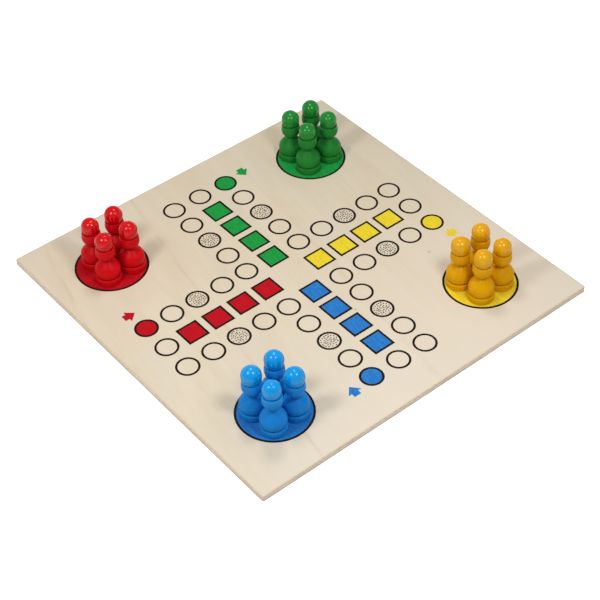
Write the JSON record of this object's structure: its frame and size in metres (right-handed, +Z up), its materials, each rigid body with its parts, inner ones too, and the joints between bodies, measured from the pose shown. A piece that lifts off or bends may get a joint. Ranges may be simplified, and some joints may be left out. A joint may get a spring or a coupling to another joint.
{
  "type": "ludo board game",
  "caption": "Square plywood ludo board printed with a cross-shaped track, home yards and arrows, with turned wooden pawns that lift off it.",
  "frame": {"origin": "centre of the board's underside, on the surface it lies on", "axes": "+Z up, square to the printed face; +X from the red yard's side towards the blue yard's side; +Y from the blue yard's side towards the yellow yard's side"},
  "size_m": [0.33, 0.33, 0.0547],
  "materials": {
    "birch_face": "bare sanded birch veneer",
    "birch_core": "sawn and sanded birch core, seen at the edges",
    "outline_ink": "thin matt printing ink, dark brown-black",
    "red_ink": "thin matt printing ink, red",
    "blue_ink": "thin matt printing ink, blue",
    "yellow_ink": "thin matt printing ink, yellow",
    "green_ink": "thin matt printing ink, green",
    "red_lacquer": "turned wood under glossy red lacquer",
    "blue_lacquer": "turned wood under glossy blue lacquer",
    "yellow_lacquer": "turned wood under glossy yellow lacquer",
    "green_lacquer": "turned wood under glossy green lacquer"
  },
  "bodies": {
    "board": {"bottom_ply": "birch_face", "core_ply": "birch_core", "top_ply": "birch_face", "outline_print": "outline_ink", "red_print": "red_ink", "blue_print": "blue_ink", "yellow_print": "yellow_ink", "green_print": "green_ink"},
    "red_pawn_1": {"red_pawn_1": "red_lacquer"},
    "red_pawn_2": {"red_pawn_2": "red_lacquer"},
    "red_pawn_3": {"red_pawn_3": "red_lacquer"},
    "red_pawn_4": {"red_pawn_4": "red_lacquer"},
    "blue_pawn_1": {"blue_pawn_1": "blue_lacquer"},
    "blue_pawn_2": {"blue_pawn_2": "blue_lacquer"},
    "blue_pawn_3": {"blue_pawn_3": "blue_lacquer"},
    "blue_pawn_4": {"blue_pawn_4": "blue_lacquer"},
    "yellow_pawn_1": {"yellow_pawn_1": "yellow_lacquer"},
    "yellow_pawn_2": {"yellow_pawn_2": "yellow_lacquer"},
    "yellow_pawn_3": {"yellow_pawn_3": "yellow_lacquer"},
    "yellow_pawn_4": {"yellow_pawn_4": "yellow_lacquer"},
    "green_pawn_1": {"green_pawn_1": "green_lacquer"},
    "green_pawn_2": {"green_pawn_2": "green_lacquer"},
    "green_pawn_3": {"green_pawn_3": "green_lacquer"},
    "green_pawn_4": {"green_pawn_4": "green_lacquer"}
  },
  "joints": [
    {"name": "red_pawn_1_lift", "type": "slide", "parent": "board", "child": "red_pawn_1", "axis": [0, 0, 1], "range_m": [0, 0.055]},
    {"name": "red_pawn_2_lift", "type": "slide", "parent": "board", "child": "red_pawn_2", "axis": [0, 0, 1], "range_m": [0, 0.055]},
    {"name": "red_pawn_3_lift", "type": "slide", "parent": "board", "child": "red_pawn_3", "axis": [0, 0, 1], "range_m": [0, 0.055]},
    {"name": "red_pawn_4_lift", "type": "slide", "parent": "board", "child": "red_pawn_4", "axis": [0, 0, 1], "range_m": [0, 0.055]},
    {"name": "blue_pawn_1_lift", "type": "slide", "parent": "board", "child": "blue_pawn_1", "axis": [0, 0, 1], "range_m": [0, 0.055]},
    {"name": "blue_pawn_2_lift", "type": "slide", "parent": "board", "child": "blue_pawn_2", "axis": [0, 0, 1], "range_m": [0, 0.055]},
    {"name": "blue_pawn_3_lift", "type": "slide", "parent": "board", "child": "blue_pawn_3", "axis": [0, 0, 1], "range_m": [0, 0.055]},
    {"name": "blue_pawn_4_lift", "type": "slide", "parent": "board", "child": "blue_pawn_4", "axis": [0, 0, 1], "range_m": [0, 0.055]},
    {"name": "yellow_pawn_1_lift", "type": "slide", "parent": "board", "child": "yellow_pawn_1", "axis": [0, 0, 1], "range_m": [0, 0.055]},
    {"name": "yellow_pawn_2_lift", "type": "slide", "parent": "board", "child": "yellow_pawn_2", "axis": [0, 0, 1], "range_m": [0, 0.055]},
    {"name": "yellow_pawn_3_lift", "type": "slide", "parent": "board", "child": "yellow_pawn_3", "axis": [0, 0, 1], "range_m": [0, 0.055]},
    {"name": "yellow_pawn_4_lift", "type": "slide", "parent": "board", "child": "yellow_pawn_4", "axis": [0, 0, 1], "range_m": [0, 0.055]},
    {"name": "green_pawn_1_lift", "type": "slide", "parent": "board", "child": "green_pawn_1", "axis": [0, 0, 1], "range_m": [0, 0.055]},
    {"name": "green_pawn_2_lift", "type": "slide", "parent": "board", "child": "green_pawn_2", "axis": [0, 0, 1], "range_m": [0, 0.055]},
    {"name": "green_pawn_3_lift", "type": "slide", "parent": "board", "child": "green_pawn_3", "axis": [0, 0, 1], "range_m": [0, 0.055]},
    {"name": "green_pawn_4_lift", "type": "slide", "parent": "board", "child": "green_pawn_4", "axis": [0, 0, 1], "range_m": [0, 0.055]}
  ]
}
